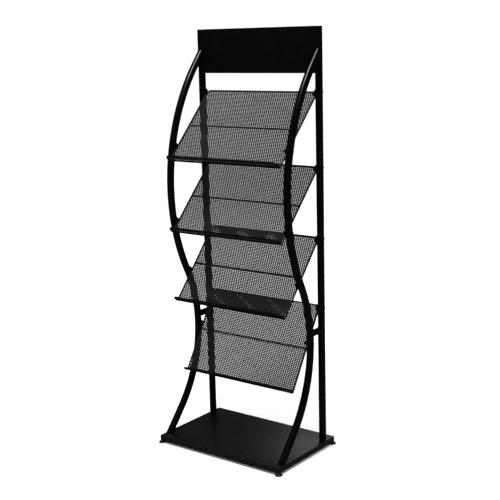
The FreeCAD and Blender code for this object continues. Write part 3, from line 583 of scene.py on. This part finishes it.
def repeat(shape, step, count):
    """Lay copies of everything in a bmesh side by side."""
    single = shape.verts[:] + shape.edges[:] + shape.faces[:]
    for copy in range(1, count):
        made = bmesh.ops.duplicate(shape, geom=single)["geom"]
        verts = [thing for thing in made if isinstance(thing, bmesh.types.BMVert)]
        bmesh.ops.translate(shape, vec=step * copy, verts=verts)


def expand_net():
    """One net in the shelf's own axes, cut flat and then bent up at the lip."""
    net = bmesh.new()
    bmesh.ops.create_circle(net, cap_ends=True, segments=4, radius=1)
    bmesh.ops.scale(net, vec=(CELL_WIDE / 2, CELL_HIGH / 2, 1), verts=net.verts[:])
    outer = set(net.verts)
    bmesh.ops.inset_individual(
        net, faces=net.faces[:], thickness=STRAND_HALF, use_even_offset=True
    )
    inner = [vert for vert in net.verts if vert not in outer]
    hole = [face for face in net.faces if set(face.verts) == set(inner)]
    bmesh.ops.delete(net, geom=hole, context="FACES_ONLY")
    for vert in inner:
        lean = (vert.co.x > SAME_PLACE) - (vert.co.x < -SAME_PLACE)
        vert.co.z = -STRAND_LEAN * lean
    columns = math.ceil(2 * ROD_X / CELL_WIDE) + 1
    rows = math.ceil((BACK_Y - NET_FRONT) / CELL_HIGH) + 1
    repeat(net, Vector((CELL_WIDE / 2, CELL_HIGH / 2, 0)), 2)
    repeat(net, Vector((CELL_WIDE, 0, 0)), columns)
    repeat(net, Vector((0, CELL_HIGH, 0)), rows)
    bmesh.ops.remove_doubles(net, verts=net.verts[:], dist=LOOP_CLOSE)
    shift = Vector((-CELL_WIDE * columns / 2, NET_FRONT - CELL_HIGH / 4, STRAND_LEAN))
    bmesh.ops.translate(net, vec=shift, verts=net.verts[:])
    for sign in (-1, 1):
        crop(net, ALONG_X * (sign * ROD_X), ALONG_X * sign)
    crop(net, ALONG_Y * BACK_Y, ALONG_Y)
    crop(net, ALONG_Y * NET_FRONT, -ALONG_Y)
    for across in (-1, 1):
        for edge, corner, facing in ((BACK_Y, BACK_BEND, 1), (NET_FRONT, LIP_BEND, -1)):
            middle = Vector((across * (ROD_X - corner), edge - facing * corner, 0))
            for angle in CORNER_CUTS:
                turn = math.radians(angle)
                way = Vector((across * math.cos(turn), facing * math.sin(turn), 0))
                crop(net, middle + way * corner, way)
    for edge_y in (MARGIN_BACK, MARGIN_FRONT):
        bmesh.ops.bisect_plane(
            net,
            geom=net.verts[:] + net.edges[:] + net.faces[:],
            dist=ON_CUT,
            plane_co=ALONG_Y * edge_y,
            plane_no=ALONG_Y,
        )
    slit = [
        face for face in net.faces
        if MARGIN_FRONT < face.calc_center_median().y < MARGIN_BACK
    ]
    bmesh.ops.delete(net, geom=slit, context="FACES")
    margin_middle = Vector((0, (MARGIN_BACK + MARGIN_FRONT) / 2, STRAND_LEAN))
    margin_size = Matrix.Diagonal((ROD_X, (MARGIN_BACK - MARGIN_FRONT) / 2, 1, 1))
    bmesh.ops.create_grid(
        net,
        x_segments=1,
        y_segments=MARGIN_STEPS,
        size=1,
        matrix=Matrix.Translation(margin_middle) @ margin_size,
    )
    for vert in net.verts:
        beyond = NET_BEND_Y - vert.co.y
        lift = vert.co.z
        turn = min(max(beyond, 0) / BEND_LENGTH, 1) * QUARTER
        up_lip = max(beyond - BEND_LENGTH, 0)
        along_floor = max(-beyond, 0)
        vert.co.y = NET_BEND_Y + along_floor - (NET_BEND - lift) * math.sin(turn)
        vert.co.z = NET_FLOOR + NET_BEND - (NET_BEND - lift) * math.cos(turn) + up_lip
    bmesh.ops.recalc_face_normals(net, faces=net.faces[:])
    upward = sum(face.normal.z for face in net.faces) > 0
    bmesh.ops.solidify(net, geom=net.faces[:], thickness=-NET_SHEET if upward else NET_SHEET)
    bmesh.ops.recalc_face_normals(net, faces=net.faces[:])
    return net


flat_net = expand_net()
for shelf, seat in shelf_seats.items():
    net = flat_net.copy()
    bmesh.ops.transform(net, matrix=seat, verts=net.verts[:])
    make_piece(
        f"shelf_{shelf}_net",
        net,
        painted_sheen_net_coat,
        "coated_mesh",
        "frame",
        f"shelf_{shelf}_mesh",
        smooth=False,
    )
flat_net.free()


# Shelf tabs: small steel plates with rounded corners, welded upright on the side rods, against the
# tubes. The bolts pass through them. The welds of the middle rod are made at the same time.

TAB_INNER = 0.22095
TAB_SHEET = 0.002
TAB_LOW = -0.007
TAB_HIGH = 0.008
TAB_CORNER = 0.003
TAB_CORNER_STEPS = 6
TAB_BURR = 0.0004
TAB_BURR_STEPS = 2
TAB_SHARP = 1.0
REAR_TAB = (-0.015, 0.008)
FRONT_TAB_REACH = 0.009
TAB_WELD = 0.0009
TAB_SEAMS = ((0.0, 0.0002), (0.0011, 0.0006))
ROD_WELD_DEPTH = 0.8
ROD_WELD_STEP = 15


def cut_tab(shape, sign, low_y, high_y):
    """One plate on a side rod, with its corners rounded and its burrs taken off."""
    plate = bmesh.new()
    place = Vector((
        sign * (TAB_INNER + TAB_SHEET / 2), (low_y + high_y) / 2, (TAB_LOW + TAB_HIGH) / 2
    ))
    extent = Matrix.Diagonal((TAB_SHEET, high_y - low_y, TAB_HIGH - TAB_LOW, 1))
    bmesh.ops.create_cube(plate, size=1, matrix=Matrix.Translation(place) @ extent)
    corners = [
        edge for edge in plate.edges
        if abs(edge.verts[0].co.x - edge.verts[1].co.x) > TAB_SHEET / 2
    ]
    bevel(plate, corners, TAB_CORNER, TAB_CORNER_STEPS)
    rims = [edge for edge in plate.edges if edge.calc_face_angle(0) > TAB_SHARP]
    bevel(plate, rims, TAB_BURR, TAB_BURR_STEPS)
    cut = bpy.data.meshes.new("tab")
    plate.to_mesh(cut)
    plate.free()
    shape.from_mesh(cut)
    bpy.data.meshes.remove(cut)


for shelf, seat in shelf_seats.items():
    span = BOLT_SPANS[shelf]
    front_tab = (-span - FRONT_TAB_REACH, -span + FRONT_TAB_REACH)
    tabs = bmesh.new()
    seams = []
    for sign in SIDES.values():
        for low_y, high_y in (REAR_TAB, front_tab):
            cut_tab(tabs, sign, low_y, high_y)
            run = (low_y + TAB_CORNER, high_y - TAB_CORNER)
            for out, below in TAB_SEAMS:
                seams.append([
                    seat @ Vector((sign * (TAB_INNER + out), end, TAB_LOW - below)) for end in run
                ])
    bmesh.ops.recalc_face_normals(tabs, faces=tabs.faces[:])
    bmesh.ops.transform(tabs, matrix=seat, verts=tabs.verts[:])
    make_piece(
        f"shelf_{shelf}_lugs", tabs, tube_coat, "black_powder_coat", "frame", f"shelf_{shelf}_tabs"
    )
    weld_bead(f"shelf_{shelf}_lug_welds", seams, TAB_WELD, closed=False)
    joins = []
    for sign in SIDES.values():
        joins.append([
            seat @ Vector((
                sign * (ROD_X - ROD_RADIUS * ROD_WELD_DEPTH),
                CROSS_Y + ROD_RADIUS * math.cos(math.radians(angle)),
                ROD_Z + ROD_RADIUS * math.sin(math.radians(angle)),
            ))
            for angle in range(0, 360, ROD_WELD_STEP)
        ])
    weld_bead(f"shelf_{shelf}_rod_welds", joins, TAB_WELD)


# Shelf bolts and nuts: blackened steel button-head bolts with a hexagon socket, put through the
# tubes and the tabs from outside, and a plain hexagon nut on the inside of each tab.

BOLT_SEAT = 0.24705
BOLT_RISE = 0.002
BOLT_SIDES = 24
HEXAGON = 6
ON_RIM = 1e-5
SOCKET_RIM = 0.0027
SOCKET_CORNER = 0.0023
SOCKET_DEPTH = 0.0015
BOLT_OUTLINE = [
    (SOCKET_RIM, BOLT_RISE),
    (0.0033, 0.0018),
    (0.0039, 0.0013),
    (0.0043, 0.0007),
    (0.0045, 0.0003),
    (0.0043, 0.0),
    (0.0030, 0.0),
    (0.0030, -0.0335),
    (0.0025, -0.0341),
    (0.0, -0.0341),
]
NUT_OUTER = 0.2209
NUT_CORNER = 0.00577
NUT_THICK = 0.005
NUT_EDGE = 0.0005
NUT_EDGE_STEPS = 2


def metal(name, dark, pale, roughness):
    """Bare or plated steel: the same slow drift in shade and sheen, on a metal."""
    steel = powder_coat(name, dark, pale, roughness, gloss=0.5, peel=0.08)
    steel.node_tree.nodes["Principled BSDF"].inputs["Metallic"].default_value = 1.0
    return steel


def button_bolt(shape, place, along):
    """A low domed head with a hexagon socket, on a plain shank."""
    turn_profile(shape, BOLT_OUTLINE, place, along, BOLT_SIDES)
    top = place + along * BOLT_RISE
    rim = [
        edge for edge in shape.edges
        if all(abs((vert.co - top).length - SOCKET_RIM) < ON_RIM for vert in edge.verts)
    ]
    socket = start_rod(shape, SOCKET_CORNER, top, along, HEXAGON)
    bmesh.ops.bridge_loops(shape, edges=rim + socket)
    floor_ring = draw_straight(shape, socket, along * -SOCKET_DEPTH)
    bmesh.ops.holes_fill(shape, edges=floor_ring, sides=0)


black_fixing = metal("blackened steel", (0.010, 0.010, 0.011), (0.022, 0.022, 0.024), 0.34)
for shelf, seat in shelf_seats.items():
    bolts = bmesh.new()
    nuts = bmesh.new()
    for sign in SIDES.values():
        for down_slope in (0, -BOLT_SPANS[shelf]):
            button_bolt(bolts, Vector((sign * BOLT_SEAT, down_slope, 0)), ALONG_X * sign)
            start = Vector((sign * NUT_OUTER, down_slope, 0))
            ring = start_rod(nuts, NUT_CORNER, start, ALONG_X * sign, HEXAGON)
            draw_straight(nuts, ring, ALONG_X * (-sign * NUT_THICK))
    close_turning(bolts)
    bmesh.ops.transform(bolts, matrix=seat, verts=bolts.verts[:])
    make_piece(
        f"shelf_{shelf}_button_bolts",
        bolts,
        black_fixing,
        "black_fixing",
        "frame",
        f"shelf_{shelf}_bolts",
    )
    bmesh.ops.holes_fill(nuts, edges=nuts.edges[:], sides=0)
    bevel(nuts, nuts.edges[:], NUT_EDGE, NUT_EDGE_STEPS)
    bmesh.ops.recalc_face_normals(nuts, faces=nuts.faces[:])
    bmesh.ops.transform(nuts, matrix=seat, verts=nuts.verts[:])
    make_piece(
        f"shelf_{shelf}_hex_nuts",
        nuts,
        black_fixing,
        "black_fixing",
        "frame",
        f"shelf_{shelf}_nuts",
    )


# Header screws: short pan-head screws of blackened steel, driven outwards through the header's end
# folds into the uprights, two at each end.

SCREW_GAP = 0.00005
SCREW_SEAT = HEADER_HALF_WIDTH - HEADER_SHEET - SCREW_GAP
SCREW_INSET = 0.022
SCREW_SIDES = 20
SCREW_OUTLINE = [
    (0.0, 0.0012),
    (0.0009, 0.0013),
    (0.0013, 0.0024),
    (0.0024, 0.0025),
    (0.0034, 0.0020),
    (0.0039, 0.0011),
    (0.0040, 0.0003),
    (0.0038, 0.0),
    (0.0020, 0.0),
    (0.0020, -0.0085),
    (0.0015, -0.0090),
    (0.0, -0.0090),
]
screws = bmesh.new()
for sign in SIDES.values():
    for height in (CAP_TOP - SCREW_INSET, CAP_TOP - HEADER_HEIGHT + SCREW_INSET):
        place = Vector((sign * SCREW_SEAT, UPRIGHT_Y, height))
        turn_profile(screws, SCREW_OUTLINE, place, ALONG_X * -sign, SCREW_SIDES)
close_turning(screws)
make_piece("header_pan_screws", screws, black_fixing, "black_fixing", "frame", "header_screws")


# Fixings under the base: welded bushes for the feet, threaded plugs in the tube ends and the bolts
# that draw the tubes down. They stay out of sight, in plain and blackened steel.

plain_steel = metal("plain steel", (0.26, 0.26, 0.27), (0.38, 0.38, 0.39), 0.42)
for node in ("corner_bushes", "upright_foot_plugs", "front_foot_plugs"):
    cad_nodes[node].data.materials.clear()
    cad_nodes[node].data.materials.append(plain_steel)
cad_nodes["base_bolts"].data.materials.clear()
cad_nodes["base_bolts"].data.materials.append(black_fixing)


# Levelling feet: a moulded pad on the lower end of a zinc-plated stud, which turns in it and is
# screwed up into the bush in each corner of the base. A spanner takes hold of the hexagon collar.

FOOT_X = 0.244
FOOT_Y = 0.155
CORNERS = {
    "front_left": (-1, -1), "front_right": (1, -1), "rear_left": (-1, 1), "rear_right": (1, 1)
}
PAD_SIDES = 40
PAD_OUTLINE = [
    (0.0, 0.0),
    (0.0114, 0.0),
    (0.0118, 0.0002),
    (0.0120, 0.0006),
    (0.0120, 0.0029),
    (0.0118, 0.0033),
    (0.0111, 0.0037),
    (0.0078, 0.0055),
    (0.0070, 0.0059),
    (0.0064, 0.0060),
    (0.0043, 0.0060),
    (0.00405, 0.0057),
    (0.00405, 0.0025),
    (0.0, 0.0025),
]
COLLAR_LOW = 0.00615
COLLAR_THICK = 0.0028
COLLAR_EDGE = 0.0004
COLLAR_EDGE_STEPS = 2
STUD_LOW = 0.00255
STUD_TOP = 0.02195
STUD_SIDES = 24
THREAD_LOW = 0.0095
THREAD_HIGH = 0.0213
THREAD_PITCH = 0.001
THREAD_ROOT = 0.0026
THREAD_CREST = 0.0030
zinc = metal("zinc-plated steel", (0.42, 0.43, 0.45), (0.56, 0.57, 0.59), 0.30)
stud_outline = [
    (0.0, STUD_LOW),
    (0.0036, STUD_LOW),
    (0.0040, 0.0029),
    (0.0040, COLLAR_LOW),
    (THREAD_ROOT, 0.0085),
]
for turn in range(round((THREAD_HIGH - THREAD_LOW) / THREAD_PITCH)):
    root = THREAD_LOW + turn * THREAD_PITCH
    stud_outline += [(THREAD_ROOT, root), (THREAD_CREST, root + THREAD_PITCH / 2)]
stud_outline += [(THREAD_ROOT, THREAD_HIGH), (0.0023, STUD_TOP), (0.0, STUD_TOP)]
for corner, (across, back) in CORNERS.items():
    place = Vector((across * FOOT_X, back * FOOT_Y, 0))
    pad = bmesh.new()
    turn_profile(pad, PAD_OUTLINE, place, ALONG_Z, PAD_SIDES)
    close_turning(pad)
    make_piece(
        f"{corner}_glide", pad, cap_plastic, "black_plastic", f"{corner}_pad", f"{corner}_foot_pad"
    )
    stud = bmesh.new()
    ring = start_rod(stud, NUT_CORNER, place + ALONG_Z * COLLAR_LOW, ALONG_Z, HEXAGON)
    draw_straight(stud, ring, ALONG_Z * COLLAR_THICK)
    bmesh.ops.holes_fill(stud, edges=stud.edges[:], sides=0)
    bevel(stud, stud.edges[:], COLLAR_EDGE, COLLAR_EDGE_STEPS)
    turn_profile(stud, stud_outline, place, ALONG_Z, STUD_SIDES)
    close_turning(stud)
    make_piece(
        f"{corner}_threaded_stud",
        stud,
        zinc,
        "zinc_steel",
        f"{corner}_stud",
        f"{corner}_foot_stud",
    )


# Camera: level with the header, in front of the rack and to its right, on a long lens.

CAMERA_PLACE = Vector((2.0049, -2.5724, 1.3433))
CAMERA_YAW = math.radians(37.46)
CAMERA_PITCH = math.radians(11.71)
CAMERA_ROLL = math.radians(1.42)
CAMERA_SENSOR = 36.0
CAMERA_LENS = 73.565
forward = Vector((
    -math.sin(CAMERA_YAW) * math.cos(CAMERA_PITCH),
    math.cos(CAMERA_YAW) * math.cos(CAMERA_PITCH),
    -math.sin(CAMERA_PITCH),
))
level_right = Vector((math.cos(CAMERA_YAW), math.sin(CAMERA_YAW), 0))
level_down = forward.cross(level_right)
right = level_right * math.cos(CAMERA_ROLL) + level_down * math.sin(CAMERA_ROLL)
camera_data = bpy.data.cameras.new("camera")
camera_data.sensor_width = CAMERA_SENSOR
camera_data.lens = CAMERA_LENS
camera = bpy.data.objects.new("camera", camera_data)
bpy.context.scene.collection.objects.link(camera)
camera_axes = Matrix((right, right.cross(forward), -forward)).transposed()
camera.matrix_world = Matrix.Translation(CAMERA_PLACE) @ camera_axes.to_4x4()
bpy.context.scene.camera = camera


# Studio: a plain pale floor, a bright surround and soft boxes above, in front and behind. Floor and
# surround are dim in reflections, so that the black coats stay black.

FLOOR_HALF = 40.0
FLOOR_PALE = (0.97, 0.97, 0.97, 1)
FLOOR_REFLECTED = (0.06, 0.06, 0.06, 1)
FLOOR_ROUGH = 0.9
WHITE = (1, 1, 1, 1)
STUDIO_WHITE = 1.08
STUDIO_GLOW = 0.045
floor_mesh = bmesh.new()
bmesh.ops.create_grid(floor_mesh, x_segments=1, y_segments=1, size=FLOOR_HALF)
floor_data = bpy.data.meshes.new("floor")
floor_mesh.to_mesh(floor_data)
floor_mesh.free()
floor = bpy.data.objects.new("floor", floor_data)
bpy.context.scene.collection.objects.link(floor)
floor_paint = bpy.data.materials.new("pale floor")
floor_paint.use_nodes = True
floor_shader = floor_paint.node_tree.nodes["Principled BSDF"]
floor_shader.inputs["Base Color"].default_value = FLOOR_PALE
floor_shader.inputs["Roughness"].default_value = FLOOR_ROUGH
floor_shader.inputs["Specular IOR Level"].default_value = 0.0
floor_nodes = floor_paint.node_tree
dim_floor = floor_nodes.nodes.new("ShaderNodeBsdfDiffuse")
dim_floor.inputs["Color"].default_value = FLOOR_REFLECTED
floor_rays = floor_nodes.nodes.new("ShaderNodeLightPath")
floor_mix = floor_nodes.nodes.new("ShaderNodeMixShader")
floor_nodes.links.new(floor_rays.outputs["Is Glossy Ray"], floor_mix.inputs[0])
floor_nodes.links.new(floor_shader.outputs[0], floor_mix.inputs[1])
floor_nodes.links.new(dim_floor.outputs[0], floor_mix.inputs[2])
floor_nodes.links.new(floor_mix.outputs[0], floor_nodes.nodes["Material Output"].inputs["Surface"])
floor_data.materials.append(floor_paint)

surround = bpy.data.worlds.new("studio surround")
bpy.context.scene.world = surround
surround.use_nodes = True
sky = surround.node_tree
glow = sky.nodes["Background"]
glow.inputs["Color"].default_value = WHITE
glow.inputs["Strength"].default_value = STUDIO_GLOW
backdrop = sky.nodes.new("ShaderNodeBackground")
backdrop.inputs["Color"].default_value = WHITE
backdrop.inputs["Strength"].default_value = STUDIO_WHITE
choose = sky.nodes.new("ShaderNodeMixShader")
rays = sky.nodes.new("ShaderNodeLightPath")
sky.links.new(rays.outputs["Is Glossy Ray"], choose.inputs[0])
sky.links.new(backdrop.outputs[0], choose.inputs[1])
sky.links.new(glow.outputs[0], choose.inputs[2])
sky.links.new(choose.outputs[0], sky.nodes["World Output"].inputs["Surface"])


def soft_light(name, place, aim, wide, high, power):
    """A rectangular soft box that the camera does not see."""
    data = bpy.data.lights.new(name, "AREA")
    data.shape = "RECTANGLE"
    data.size = wide
    data.size_y = high
    data.energy = power
    light = bpy.data.objects.new(name, data)
    bpy.context.scene.collection.objects.link(light)
    light.visible_camera = False
    light.location = place
    light.rotation_euler = (Vector(aim) - Vector(place)).to_track_quat("-Z", "Y").to_euler()


soft_light(
    "overhead_box", place=(0.0, 0.4, 4.5), aim=(0, 0, 0.4), wide=2.5, high=2.5, power=40
)
soft_light(
    "front_box", place=(0.15, -1.15, 3.9), aim=(0, 0, 1.2), wide=0.5, high=0.9, power=85
)
soft_light(
    "back_box", place=(-1.3, 3.9, 1.9), aim=(0.2, 0, 0.1), wide=2.0, high=1.4, power=9
)

bpy.context.scene.view_settings.view_transform = "Standard"
